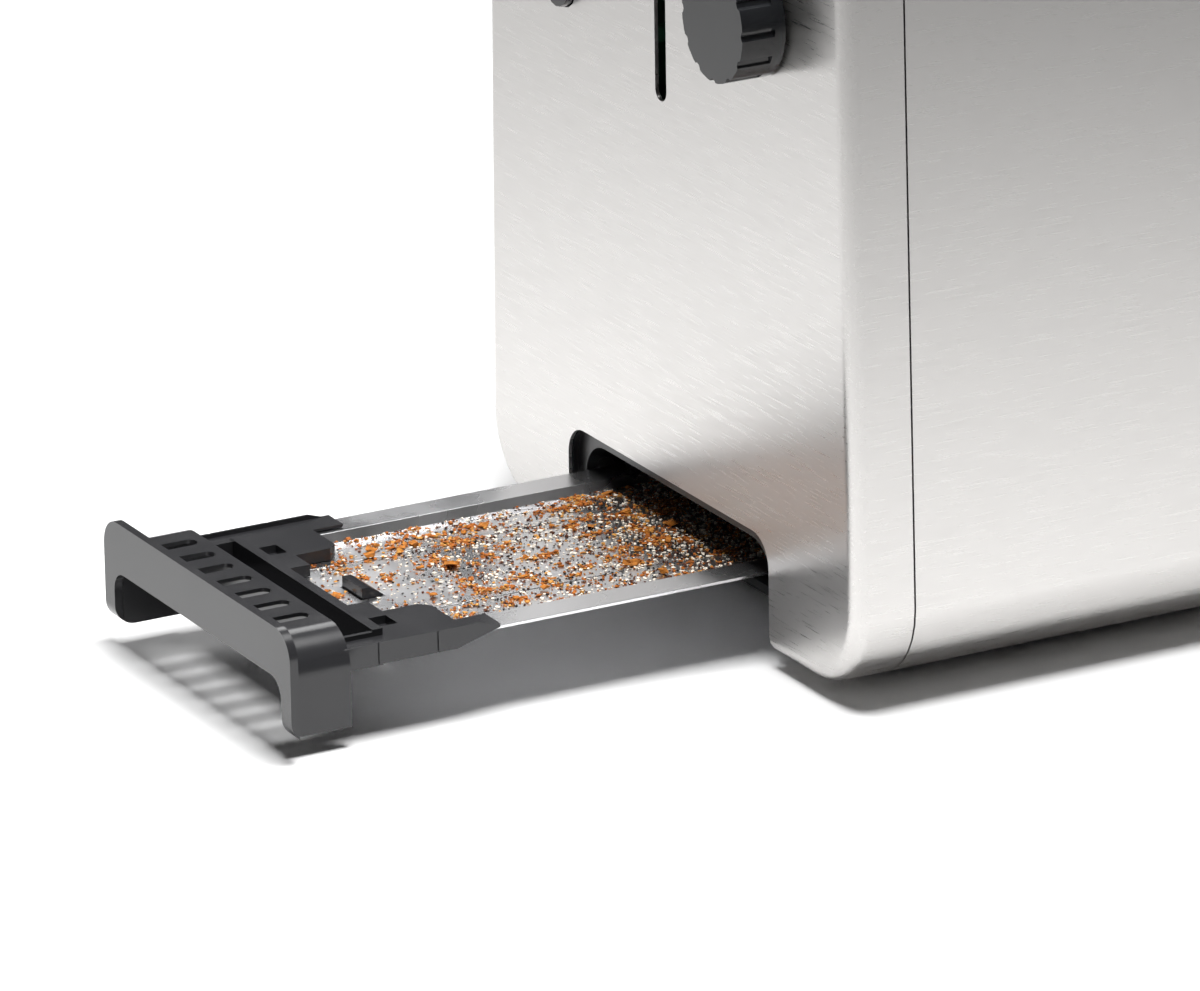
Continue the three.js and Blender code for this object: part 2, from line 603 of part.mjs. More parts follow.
// A vent slot is square at the front and round at the back.
function ventSlot(y) {
  const half = VENT_WIDTH / 2;
  const shape = new THREE.Shape();
  shape.moveTo(VENT_START, y - half);
  shape.lineTo(VENT_START + VENT_LENGTH - half, y - half);
  shape.absarc(VENT_START + VENT_LENGTH - half, y, half, -Math.PI / 2, Math.PI / 2);
  shape.lineTo(VENT_START, y + half);
  shape.closePath();
  return prism(shape, "z", [deckTop - 3, deckTop + 1], 3);
}
const vents = Array.from({ length: VENT_COUNT }, (_, i) => ventSlot((i - (VENT_COUNT - 1) / 2) * VENT_PITCH));

// Behind the handle: a channel, a ridge, edge strips over the flanges and pads on the pan.
const channel = join(
  block([HANDLE_DEPTH - 1, ridgeBack], [-STRIP_INNER, STRIP_INNER],
    [CHANNEL_FLOOR, CHANNEL_FLOOR + CHANNEL_SHEET]),
  block([RIDGE_START, ridgeBack], [-STRIP_INNER, STRIP_INNER], [CHANNEL_FLOOR, RIDGE_TOP]),
  ...blockPair([HANDLE_DEPTH - 1, ridgeBack], [STRIP_INNER - 1.2, STRIP_INNER], [CHANNEL_FLOOR, STRIP_TOP]),
);
const stripEnd = polygon([
  [HANDLE_DEPTH - 1, PAN_FLANGE_TOP - STRIP_LIP],
  [STRIP_END - STRIP_FOOT_SLOPE, PAN_FLANGE_TOP - STRIP_LIP],
  [STRIP_END, PAN_FLANGE_TOP],
  [STRIP_END, stripFoot],
  [STRIP_END - STRIP_TOP_SLOPE, STRIP_TOP],
  [HANDLE_DEPTH - 1, STRIP_TOP],
]);
const stripWall = prism(stripEnd, "y", [STRIP_OUTER - STRIP_WALL, STRIP_OUTER]);
const stripCover = block([HANDLE_DEPTH - 1, STRIP_END], [STRIP_INNER - 0.6, STRIP_OUTER],
  [stripFoot, PAD_TOP]);
const strip = cut(
  join(stripWall, stripCover),
  ...STRIP_JOINTS.map((x) => block([x - JOINT_WIDTH / 2, x + JOINT_WIDTH / 2],
    [STRIP_OUTER - JOINT_DEPTH, STRIP_OUTER + 1], [CHANNEL_FLOOR, STRIP_TOP + 1])),
);
const padShortInner = PAN_WALL_TOP - PAD_SHORT_INSET;
const padLongInner = PAN_WALL_TOP - PAD_LONG_INSET;
const padOuter = PAN_WALL_TOP - PAD_OUTER_INSET;
const padOutline = polygon([
  [ridgeBack - 1, padShortInner],
  [PAD_SHORT_END, padShortInner],
  [PAD_SHORT_END, padLongInner],
  [PAD_LONG_END - PAD_CHAMFER, padLongInner],
  [PAD_LONG_END, padLongInner + PAD_CHAMFER],
  [PAD_LONG_END, padOuter],
  [ridgeBack - 1, padOuter],
]);
const pocketX = ridgeBack + 2.2;
const clipPocket = block([pocketX, pocketX + CLIP_POCKET], [padLongInner + 3, padOuter - 0.6],
  [padFoot + 1, PAD_TOP + 1]);
const pad = cut(
  join(
    prism(padOutline, "z", [padFoot, PAD_TOP]),
    block([ridgeBack - 1, PAD_LONG_END], [padOuter - 0.5, STRIP_INNER + 1], [stripFoot, PAD_TOP]),
  ),
  clipPocket,
);
const spineTop = PAN_FLOOR - PAN_SHEET - GAP - 0.1;
const spineHalf = TONGUE_WIDTH / 2 + 1.4;
const spine = block([ridgeBack - 1, TONGUE_START + TONGUE_LENGTH], [-spineHalf, spineHalf],
  [CHANNEL_FLOOR, spineTop]);
const tongue = prism(polygon([
  [TONGUE_START, CHANNEL_FLOOR + 1],
  [TONGUE_START + TONGUE_LENGTH, CHANNEL_FLOOR + 1],
  [TONGUE_START + TONGUE_LENGTH, PAN_FLOOR + 0.4],
  [TONGUE_START + TONGUE_FLAT, PAN_FLOOR + TONGUE_RISE],
  [TONGUE_START, PAN_FLOOR + TONGUE_RISE],
]), "y", [-TONGUE_WIDTH / 2, TONGUE_WIDTH / 2]);

piece("tray_handle", cut(
  join(
    frontPlate, handleShell, channel,
    strip, strip.mirror([0, 1, 0]),
    pad, pad.mirror([0, 1, 0]),
    spine, tongue,
  ),
  prism(legCorner, "y", [-plateHalf - 1, plateHalf + 1]),
  ...vents,
), blackPlastic, tray);

// Pan: flat flanges, sloping walls, a floor with two pressed lines, and a turned-up tail.
function panTop(side) {
  return [
    [side * (CREASE_HALF_PITCH - CREASE_WIDTH / 2), PAN_FLOOR],
    [side * CREASE_HALF_PITCH, PAN_FLOOR - CREASE_DEPTH],
    [side * (CREASE_HALF_PITCH + CREASE_WIDTH / 2), PAN_FLOOR],
    [side * (PAN_WALL_TOP - PAN_WALL_RUN), PAN_FLOOR],
    [side * PAN_WALL_TOP, PAN_FLANGE_TOP],
    [side * PAN_HALF_WIDTH, PAN_FLANGE_TOP],
  ];
}
const panUnder = (side) => [
  [side * PAN_HALF_WIDTH, PAN_FLANGE_TOP - PAN_SHEET],
  [side * (PAN_WALL_TOP + 0.3), PAN_FLANGE_TOP - PAN_SHEET],
  [side * (PAN_WALL_TOP - PAN_WALL_RUN + 0.3), PAN_FLOOR - PAN_SHEET],
];
const panOutline = polygon([
  ...panUnder(-1).reverse(),
  ...panTop(-1).reverse(),
  ...panTop(1),
  ...panUnder(1),
]);
const tail = block([TRAY_LENGTH - 2, TRAY_LENGTH], [-PAN_WALL_TOP + TAIL_INSET, PAN_WALL_TOP - TAIL_INSET],
  [PAN_FLOOR - PAN_SHEET, PAN_FLANGE_TOP]);
const tongueHole = block([TONGUE_START - 0.5, TONGUE_START + TONGUE_LENGTH + 0.5],
  [-TONGUE_WIDTH / 2 - 0.4, TONGUE_WIDTH / 2 + 0.4], [PAN_FLOOR - PAN_SHEET - 1, PAN_FLOOR + 1]);
piece("tray_pan", cut(
  join(prism(panOutline, "x", [PAN_START, TRAY_LENGTH]), tail),
  tongueHole,
), plainSteel, tray);

// ---------------------------------------------------------------- bread chamber
const bulkheadHalf = Math.max(BASE_HALF_WIDTH - 1, REFLECTOR_Y + BULKHEAD + 2);
const legInner = RAIL_OUTER + RAIL_WALL + 2;
const restSlots = [-1, 1].map((side) => block(
  [CHAMBER_START - 2, CHAMBER_START + 2],
  [side * SLOT_HALF_PITCH - 4.5, side * SLOT_HALF_PITCH + 4.5],
  [REST_Z - LEVER_TRAVEL - REST_FOOT, REST_Z + REST_FOOT],
));
const bulkheadBlank = (x) => cut(
  block([x, x + BULKHEAD], [-bulkheadHalf, bulkheadHalf], [BASE_TOP + GAP, CHAMBER_TOP]),
  block([x - 1, x + BULKHEAD + 1], [-legInner, legInner], [BASE_TOP, SHELF_Z]),
);
piece("front_bulkhead", cut(bulkheadBlank(CHAMBER_START - BULKHEAD), ...restSlots), plainSteel);
piece("rear_bulkhead", bulkheadBlank(CHAMBER_END), plainSteel);

const insideX = [CHAMBER_START + GAP, CHAMBER_END - GAP];
for (const [side, name] of [[-1, "right"], [1, "left"]]) {
  const near = Math.min(side * REFLECTOR_Y, side * (REFLECTOR_Y + BULKHEAD));
  piece(`reflector_${name}`, block(insideX, [near, near + BULKHEAD], [SHELF_Z, CHAMBER_TOP]), plainSteel);
}

// Each slot has a heater board and a bread guide on both of its sides.
const heaterZ = [SHELF_Z + 4, CHAMBER_TOP - 4];
function heaterBoard(y) {
  return block(insideX, [y - HEATER_SHEET / 2, y + HEATER_SHEET / 2], heaterZ);
}
function breadGuide(y) {
  const z = [SHELF_Z + 6, CHAMBER_TOP - 3];
  const x = [slotEnds[0] + 2, slotEnds[1] - 2];
  const limitsY = [y - GUIDE_WIRE / 2, y + GUIDE_WIRE / 2];
  const railsAcross = [z[0] + 4, z[1] - 4].map((height) => block(x, limitsY,
    [height - GUIDE_WIRE / 2, height + GUIDE_WIRE / 2]));
  const uprights = Array.from({ length: GUIDE_WIRES }, (_, i) => {
    const middle = x[0] + 3 + (x[1] - x[0] - 6) * i / (GUIDE_WIRES - 1);
    return block([middle - GUIDE_WIRE / 2, middle + GUIDE_WIRE / 2], limitsY, z);
  });
  return join(...railsAcross, ...uprights);
}
for (const [side, name] of [[-1, "right"], [1, "left"]]) {
  for (const [face, place] of [[-1, "inner"], [1, "outer"]]) {
    const edge = side * (SLOT_HALF_PITCH + face * SLOT_WIDTH / 2);
    piece(`heater_${name}_${place}`, heaterBoard(edge + side * face * HEATER_OFFSET), mica);
    piece(`guide_${name}_${place}`, breadGuide(edge - side * face * (GUIDE_WIRE / 2 - 0.4)), wireSteel);
  }
}

// ---------------------------------------------------------------- lever and carriage
const webX = [CARRIAGE_X - CARRIAGE_SHEET, CARRIAGE_X];
const tabX = [ROD_X - ROD_RADIUS - 3.5, CARRIAGE_X];
const keeperZ = MAGNET_TOP + GAP + LEVER_TRAVEL;
const liftTop = CHAMBER_TOP - 2;
const springLugZ = liftTop - SPRING_LENGTH;
const upperTabZ = ARM_Z - ARM_HEIGHT / 2 - 10;
const lowerTabZ = REST_Z - 4;
const rodTabs = [lowerTabZ, upperTabZ].map((z) => block(tabX, [ROD_OFFSET_Y - 5, ROD_OFFSET_Y + 5],
  [z, z + CARRIAGE_SHEET]));
piece("lift_carriage", cut(
  join(
    block(webX, [-CARRIAGE_HALF_WIDTH, CARRIAGE_HALF_WIDTH], [REST_Z - REST_FOOT, ARM_Z + ARM_HEIGHT / 2]),
    block(webX, [-SLOT_HALF_PITCH - 7, SLOT_HALF_PITCH + 7], [REST_Z - REST_FOOT, REST_Z + REST_FOOT]),
    ...rodTabs,
    block(tabX, [-CARRIAGE_HALF_WIDTH, -1], [keeperZ, keeperZ + 2]),
    block(tabX, [-ROD_OFFSET_Y - 4, -ROD_OFFSET_Y + 4], [springLugZ, springLugZ + CARRIAGE_SHEET]),
  ),
  rod(ROD_RADIUS + GAP, "z", [REST_Z - 10, ARM_Z], [ROD_X, ROD_OFFSET_Y]),
), plainSteel);

// A bread rest: a long bar with cross ribs, on a foot that is riveted to the carriage.
function breadRest(side) {
  const y = side * SLOT_HALF_PITCH;
  const start = CARRIAGE_X + GAP;
  const end = slotEnds[1] - 4;
  const ribs = Array.from({ length: REST_RIBS }, (_, i) => {
    const middle = slotEnds[0] + 10 + (end - slotEnds[0] - 14) * i / (REST_RIBS - 1);
    return block([middle - 1.5, middle + 1.5], [y - REST_WIDTH / 2, y + REST_WIDTH / 2],
      [REST_Z - 0.5, REST_Z + REST_THICKNESS / 2]);
  });
  return join(
    block([start, end], [y - 2, y + 2], [REST_Z - REST_THICKNESS / 2, REST_Z + REST_THICKNESS / 2 - 0.4]),
    block([start, start + CARRIAGE_SHEET], [y - 4, y + 4], [REST_Z - 5, REST_Z + 5]),
    ...ribs,
  );
}
piece("bread_rest_right", breadRest(-1), plainSteel);
piece("bread_rest_left", breadRest(1), plainSteel);

const knobX = [-KNOB_STANDOFF - KNOB_DEPTH, -KNOB_STANDOFF];
const armX = [knobX[0] + 5, CARRIAGE_X - CARRIAGE_SHEET - GAP];
const armZ = [ARM_Z - ARM_HEIGHT / 2, ARM_Z + ARM_HEIGHT / 2];
piece("lever_arm", block(armX, [-ARM_WIDTH / 2, ARM_WIDTH / 2], armZ), plainSteel);
const knobOutline = roundedRectangle(
  [-KNOB_WIDTH / 2, KNOB_WIDTH / 2],
  [ARM_Z - KNOB_HEIGHT / 2, ARM_Z + KNOB_HEIGHT / 2],
  KNOB_RADIUS,
);
const armSocket = block([armX[0] - GAP, knobX[1] + 1], [-ARM_WIDTH / 2 - GAP, ARM_WIDTH / 2 + GAP],
  [armZ[0] - GAP, armZ[1] + GAP]);
piece("lever_knob", cut(prism(knobOutline, "x", knobX), armSocket), glossPlastic);

const shelfX = [ROD_X - 12, CARRIAGE_X - CARRIAGE_SHEET - 1.5];
const shelfHalf = legInner + 4;
piece("latch_shelf", join(
  block(shelfX, [-shelfHalf, shelfHalf], [SHELF_Z, SHELF_Z + CARRIAGE_SHEET]),
  ...blockPair(shelfX, [shelfHalf - CARRIAGE_SHEET, shelfHalf], [BASE_TOP + GAP, SHELF_Z + 1]),
), plainSteel);
piece("lift_bracket", block([ROD_X - 8, CHAMBER_START - BULKHEAD - GAP],
  [-CARRIAGE_HALF_WIDTH, CARRIAGE_HALF_WIDTH], [liftTop, liftTop + CARRIAGE_SHEET]), plainSteel);
const shelfTop = SHELF_Z + CARRIAGE_SHEET + GAP;
piece("guide_rod", rod(ROD_RADIUS, "z", [shelfTop, liftTop - GAP], [ROD_X, ROD_OFFSET_Y]), plainSteel);
piece("latch_magnet", block([ROD_X - 6, ROD_X + 3], [-CARRIAGE_HALF_WIDTH + 1, -2],
  [shelfTop, MAGNET_TOP]), copper);

// The lift spring hangs from the bracket and holds the carriage up.
class Helix extends THREE.Curve {
  constructor(radius, low, high, turns) {
    super();
    Object.assign(this, { radius, low, high, turns });
  }

  getPoint(t) {
    const angle = t * this.turns * 2 * Math.PI;
    const z = this.low + (this.high - this.low) * t;
    return new THREE.Vector3(this.radius * Math.cos(angle), this.radius * Math.sin(angle), z);
  }
}
const wireSection = new THREE.Shape();
wireSection.absarc(0, 0, SPRING_WIRE, 0, 2 * Math.PI);
const springLow = springLugZ + CARRIAGE_SHEET + GAP + SPRING_WIRE;
const springHigh = liftTop - GAP - SPRING_WIRE;
const spring = new THREE.ExtrudeGeometry(wireSection, {
  steps: SPRING_TURNS * 8,
  curveSegments: 3,
  extrudePath: new Helix(SPRING_RADIUS - SPRING_WIRE, springLow, springHigh, SPRING_TURNS),
});
piece("lift_spring", solid(spring.translate(ROD_X, -ROD_OFFSET_Y, 0)), wireSteel);

// ---------------------------------------------------------------- controls and cord gland
const switchX = BOARD_X - 7;
const board = block([BOARD_X, BOARD_X + BOARD_SHEET],
  [CARRIAGE_HALF_WIDTH + 4, HALF_WIDTH - BOARD_INSET_Y], [CONTROL_Z - 44, CONTROL_Z + 28]);
const switches = buttonHeights.map((z) => block([switchX, BOARD_X + 0.5],
  [CONTROL_OFFSET_Y - 5, CONTROL_OFFSET_Y + 5], [z - 5, z + 5]));
const relay = block([BOARD_X - 13, BOARD_X + 0.5], [CARRIAGE_HALF_WIDTH + 8, CARRIAGE_HALF_WIDTH + 22],
  [CONTROL_Z - 42, buttonHeights[0] - BUTTON_RADIUS - 4]);
piece("control_board", join(board, relay, ...switches), boardGreen);

buttonHeights.forEach((z, i) => {
  const at = [CONTROL_OFFSET_Y, z];
  const flange = [STEEL + BUTTON_CLEARANCE, STEEL + BUTTON_CLEARANCE + BUTTON_FLANGE];
  piece(`button_${i + 1}`, join(
    rod(BUTTON_RADIUS, "x", [-BUTTON_PROUD, flange[1]], at),
    rod(BUTTON_RADIUS + 1.6, "x", flange, at),
    rod(2.4, "x", [flange[0], switchX - 2], at, 12),
  ), glossPlastic);
});

const dialAt = [-CONTROL_OFFSET_Y, CONTROL_Z];
const fluteReach = DIAL_RADIUS + 0.6;
const dialFlutes = Array.from({ length: DIAL_FLUTES }, (_, i) => {
  const angle = i / DIAL_FLUTES * 2 * Math.PI;
  const flute = [dialAt[0] + fluteReach * Math.cos(angle), dialAt[1] + fluteReach * Math.sin(angle)];
  return rod(1.5, "x", [-DIAL_DEPTH - 2, -4], flute, 8);
});
const potX = STEEL + 9;
piece("browning_dial", cut(
  join(
    rod(DIAL_RADIUS, "x", [-DIAL_DEPTH - 1, -1], dialAt, 36),
    rod(DIAL_SHAFT_RADIUS, "x", [-2, potX - GAP], dialAt, 16),
  ),
  ...dialFlutes,
), glossPlastic);
piece("dial_switch", block([potX, potX + 12], [dialAt[0] - 9, dialAt[0] + 9], [dialAt[1] - 9, dialAt[1] + 9]),
  blackPlastic);

const glandAt = [glandY, glandZ];
piece("cord_gland", cut(
  join(
    rod(GLAND_RADIUS, "x", [BODY_LENGTH + GAP, BODY_LENGTH + GLAND_PROUD], glandAt, 24),
    rod(GLAND_RADIUS - 2 - GAP, "x", [BODY_LENGTH - STEEL - 6, BODY_LENGTH + 1], glandAt, 24),
  ),
  rod(GLAND_BORE, "x", [BODY_LENGTH - STEEL - 8, BODY_LENGTH + GLAND_PROUD + 1], glandAt, 16),
), rubber);

// ---------------------------------------------------------------- origin
// The footprint reaches from the pulled-out tray's plate to the cord gland's rim.
toaster.position.x = -(BODY_LENGTH + GLAND_PROUD - TRAY_PULL) / 2;

export default toaster;
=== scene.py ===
import math

import bmesh
import bpy
import numpy as np
from mathutils import Matrix, Vector


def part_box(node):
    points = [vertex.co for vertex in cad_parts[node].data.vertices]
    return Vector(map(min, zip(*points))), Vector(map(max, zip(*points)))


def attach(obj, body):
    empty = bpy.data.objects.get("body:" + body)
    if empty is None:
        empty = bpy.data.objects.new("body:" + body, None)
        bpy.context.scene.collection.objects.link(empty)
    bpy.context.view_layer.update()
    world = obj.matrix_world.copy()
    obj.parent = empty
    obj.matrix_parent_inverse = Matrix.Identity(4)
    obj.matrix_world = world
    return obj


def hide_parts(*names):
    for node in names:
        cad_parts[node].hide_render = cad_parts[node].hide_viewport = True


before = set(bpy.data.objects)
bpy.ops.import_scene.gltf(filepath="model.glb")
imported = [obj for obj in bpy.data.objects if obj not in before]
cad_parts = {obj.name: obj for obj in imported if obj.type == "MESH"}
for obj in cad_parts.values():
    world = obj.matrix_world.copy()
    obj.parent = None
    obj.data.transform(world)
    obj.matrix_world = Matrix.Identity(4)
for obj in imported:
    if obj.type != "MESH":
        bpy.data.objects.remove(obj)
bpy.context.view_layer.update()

# ---------------------------------------------------------------- base plate
# The base is one injection moulding in black ABS that closes the body from below. Its two long
# rails carry the crumb tray. The mould is spark-eroded, so the plastic has a fine even grain.
MM = 0.001


def linear(code):
    """An sRGB hex colour as linear red, green, blue and alpha."""
    channels = [int(code[i:i + 2], 16) / 255 for i in (1, 3, 5)]
    return [c / 12.92 if c <= 0.04045 else ((c + 0.055) / 1.055) ** 2.4 for c in channels] + [1.0]


def add(tree, kind, inputs=None, **settings):
    """Adds one node with its settings, its values and its links, and returns it."""
    made = tree.nodes.new(kind)
    for key, value in settings.items():
        setattr(made, key, value)
    for key, value in (inputs or {}).items():
        if isinstance(value, bpy.types.NodeSocket):
            tree.links.new(value, made.inputs[key])
        else:
            made.inputs[key].default_value = value
    return made


def material(name, colour, roughness, metallic=0.0, ior=1.5):
    """A new material: the material, its node tree, its shader and the piece's own coordinates."""
    made = bpy.data.materials.new(name)
    made.use_nodes = True
    tree = made.node_tree
    shader = tree.nodes["Principled BSDF"]
    shader.inputs["Base Color"].default_value = linear(colour)
    shader.inputs["Roughness"].default_value = roughness
    shader.inputs["Metallic"].default_value = metallic
    shader.inputs["IOR"].default_value = ior
    place = add(tree, "ShaderNodeTexCoord").outputs["Object"]
    return made, tree, shader, place


def spread_roughness(tree, shader, factor, low, high):
    """Lets a pattern move the roughness between two values."""
    spread = add(tree, "ShaderNodeMapRange", {"Value": factor, "From Min": 0.3, "From Max": 0.7,
                                              "To Min": low, "To Max": high})
    tree.links.new(spread.outputs["Result"], shader.inputs["Roughness"])


def raise_surface(tree, shader, height, strength, distance_mm):
    """Lets a pattern raise the surface by a real depth."""
    bump = add(tree, "ShaderNodeBump", {"Height": height, "Strength": strength,
                                        "Distance": distance_mm * MM})
    tree.links.new(bump.outputs["Normal"], shader.inputs["Normal"])


def moulded_plastic(name, colour, roughness, grain_mm, grain_strength):
    """Moulded ABS: an even fine grain from the mould, and slow patches where it was handled."""
    made, tree, shader, place = material(name, colour, roughness)
    grain = add(tree, "ShaderNodeTexNoise", {"Vector": place, "Scale": 1 / (grain_mm * MM), "Detail": 2.0})
    patches = add(tree, "ShaderNodeTexNoise", {"Vector": place, "Scale": 1 / (18 * MM), "Detail": 3.0})
    spread_roughness(tree, shader, patches.outputs["Fac"], roughness - 0.03, roughness + 0.04)
    raise_surface(tree, shader, grain.outputs["Fac"], grain_strength, 0.03)
    return made


def refine(bm, bevel_mm, segments=2, sharp=32):
    """Merges a mesh's loose faces, rounds its sharp edges and smooths what lies between them."""
    bmesh.ops.remove_doubles(bm, verts=bm.verts, dist=0.004 * MM)
    bmesh.ops.dissolve_degenerate(bm, edges=bm.edges, dist=0.002 * MM)
    bmesh.ops.dissolve_limit(bm, angle_limit=math.radians(1), verts=bm.verts, edges=bm.edges)
    limit = math.radians(sharp)
    if bevel_mm:
        edges = [e for e in bm.edges if len(e.link_faces) == 2 and e.calc_face_angle(0) > limit]
        bmesh.ops.bevel(bm, geom=edges, offset=bevel_mm * MM, offset_type="OFFSET", affect="EDGES",
                        segments=segments, profile=0.5, material=-1, clamp_overlap=True)
    for face in bm.faces:
        face.smooth = True
    for edge in bm.edges:
        edge.smooth = len(edge.link_faces) == 2 and edge.calc_face_angle(0) < limit * 1.35


def new_object(name, bm, finish, body=None, stands_for=()):
    """A bmesh as an object at the origin, with its material, its body and the nodes it replaces."""
    mesh = bpy.data.meshes.new(name)
    bm.to_mesh(mesh)
    bm.free()
    mesh.materials.append(finish)
    made = bpy.data.objects.new(name, mesh)
    bpy.context.collection.objects.link(made)
    if body:
        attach(made, body)
    if stands_for:
        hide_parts(*stands_for)
    return made


def remade(node, finish, body, bevel_mm=0.25, segments=2, sharp=32):
    """A piece on the surface of one CAD node, with its edges rounded as the real piece's are."""
    bm = bmesh.new()
    bm.from_mesh(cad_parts[node].data)
    refine(bm, bevel_mm, segments, sharp)
    made = new_object(node + "_piece", bm, finish, body, [node])
    flat = made.modifiers.new("flat_faces", "WEIGHTED_NORMAL")
    flat.keep_sharp = True
    return made


# Spark-eroded ABS: matt black, so it shows only broad dull highlights.
base_abs = moulded_plastic("base_black_abs", "#1E1F21", 0.45, 0.5, 0.4)
remade("base_plate", base_abs, "toaster", 0.25)

# ---------------------------------------------------------------- feet and base screws
# Four soft rubber feet are pressed into the base by their stems, and four pan-head screws in
# zinc-plated steel hold the base to the body.

# Moulded nitrile rubber: matt, a little dusty.
foot_rubber, tree, shader, place = material("moulded_black_rubber", "#1D1D1F", 0.75, ior=1.52)
dust = add(tree, "ShaderNodeTexNoise", {"Vector": place, "Scale": 1 / (1.2 * MM), "Detail": 4.0})
tint = add(tree, "ShaderNodeValToRGB", {"Fac": dust.outputs["Fac"]})
tint.color_ramp.elements[0].color = linear("#151517")
tint.color_ramp.elements[1].color = linear("#2B2B2E")
tree.links.new(tint.outputs["Color"], shader.inputs["Base Color"])
raise_surface(tree, shader, dust.outputs["Fac"], 0.3, 0.05)


def sheet_steel(name, colour, roughness, rolling_mm, strength):
    """Cold-rolled bright steel: faint rolling lines along its length and a slow cloudiness."""
    made, tree, shader, place = material(name, colour, roughness, metallic=1.0)
    stretched = add(tree, "ShaderNodeMapping", {"Vector": place, "Scale": (0.03, 1.0, 1.0)})
    lines = add(tree, "ShaderNodeTexNoise", {"Vector": stretched.outputs["Vector"],
                                             "Scale": 1 / (rolling_mm * MM), "Detail": 3.0})
    clouds = add(tree, "ShaderNodeTexNoise", {"Vector": place, "Scale": 1 / (22 * MM), "Detail": 3.0})
    spread_roughness(tree, shader, clouds.outputs["Fac"], roughness - 0.05, roughness + 0.05)
    raise_surface(tree, shader, lines.outputs["Fac"], strength, 0.02)
    return made


# Zinc plating: bluish, cloudy and half bright.
zinc_steel = sheet_steel("zinc_plated_steel", "#B9BCC0", 0.32, 0.4, 0.2)
for corner in ("front_right", "front_left", "rear_right", "rear_left"):
    remade("foot_" + corner, foot_rubber, "toaster", 0.6)
    remade("screw_" + corner, zinc_steel, "toaster", 0.3)

# ---------------------------------------------------------------- chassis
# Two bulkheads and two reflectors, folded from bright aluminised sheet, box in the bread chamber.
# The latch shelf and the lift bracket are spot-welded in front of it.
# Aluminised sheet: pale grey with faint rolling lines.
chassis_steel = sheet_steel("aluminised_chassis_steel", "#B4B7BA", 0.36, 0.5, 0.25)
for part in ("front_bulkhead", "rear_bulkhead", "reflector_right", "reflector_left", "latch_shelf",
             "lift_bracket"):
    remade(part, chassis_steel, "toaster", 0.15)

# ---------------------------------------------------------------- heaters
# Four mica boards stand beside the slots. Each is wound with flat nichrome ribbon, which lies on
# both faces of the board and glows when the toaster is on.
RIBBON_PITCH = 9 * MM
RIBBON_WIDTH = 1.6 * MM
RIBBON_THICKNESS = 0.15 * MM
RIBBON_INSET = 3 * MM              # from the board's ends
FIRST_TURN = 6 * MM                # above the board's lower edge
UNWOUND = 8 * MM                   # of the board's height

# Pressed mica paper: dull straw colour with small darker flakes.
mica, tree, shader, place = material("pressed_mica_board", "#A89A78", 0.55, ior=1.58)
flakes = add(tree, "ShaderNodeTexVoronoi", {"Vector": place, "Scale": 1 / (2.5 * MM)})
tint = add(tree, "ShaderNodeValToRGB", {"Fac": flakes.outputs["Color"]})
tint.color_ramp.elements[0].color = linear("#8E805F")
tint.color_ramp.elements[1].color = linear("#BDB08E")
tree.links.new(tint.outputs["Color"], shader.inputs["Base Color"])

# Nichrome ribbon: a grey metal, dulled by heat.
nichrome, tree, shader, place = material("flat_nichrome_ribbon", "#8D857C", 0.38, metallic=1.0)
heat = add(tree, "ShaderNodeTexNoise", {"Vector": place, "Scale": 1 / (14 * MM), "Detail": 2.0})
spread_roughness(tree, shader, heat.outputs["Fac"], 0.3, 0.46)


def add_block(bm, low, high):
    """A box between two corners, added to a bmesh."""
    low, high = Vector(low), Vector(high)
    placed = Matrix.Translation((low + high) / 2) @ Matrix.Diagonal((*(high - low), 1))
    bmesh.ops.create_cube(bm, size=1, matrix=placed)


for side in ("right", "left"):
    for face in ("inner", "outer"):
        node = f"heater_{side}_{face}"
        remade(node, mica, "toaster", 0.1)
        low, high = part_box(node)
        bm = bmesh.new()
        count = int((high.z - low.z - UNWOUND) / RIBBON_PITCH)
        for i in range(count):
            z = low.z + FIRST_TURN + i * RIBBON_PITCH
            for y in (low.y - RIBBON_THICKNESS, high.y):
                add_block(bm, (low.x + RIBBON_INSET, y, z),
                          (high.x - RIBBON_INSET, y + RIBBON_THICKNESS, z + RIBBON_WIDTH))
        new_object(f"heating_ribbon_{side}_{face}", bm, nichrome, "toaster")

# ---------------------------------------------------------------- bread guides
# Each side of a slot has a guide welded from round drawn wire: two long rails and eight uprights,
# all in one plane. It is nickel-plated.
GUIDE_UPRIGHTS = 8
RAIL_FROM_END = 4 * MM
UPRIGHT_FROM_END = 3 * MM


def add_rod(bm, start, end, radius, sides=10):
    """A round bar with closed ends between two points, added to a bmesh."""
    start, end = Vector(start), Vector(end)
    turned = (end - start).to_track_quat("Z", "Y").to_matrix().to_4x4()
    bmesh.ops.create_cone(bm, cap_ends=True, segments=sides, radius1=radius, radius2=radius,
                          depth=(end - start).length, matrix=Matrix.Translation((start + end) / 2) @ turned)


# Nickel on drawn wire: warm and bright, with slow dull patches.
nickel_wire, tree, shader, place = material("nickel_plated_wire", "#BDBBB5", 0.24, metallic=1.0)
draw = add(tree, "ShaderNodeTexNoise", {"Vector": place, "Scale": 1 / (3 * MM), "Detail": 3.0})
spread_roughness(tree, shader, draw.outputs["Fac"], 0.18, 0.32)

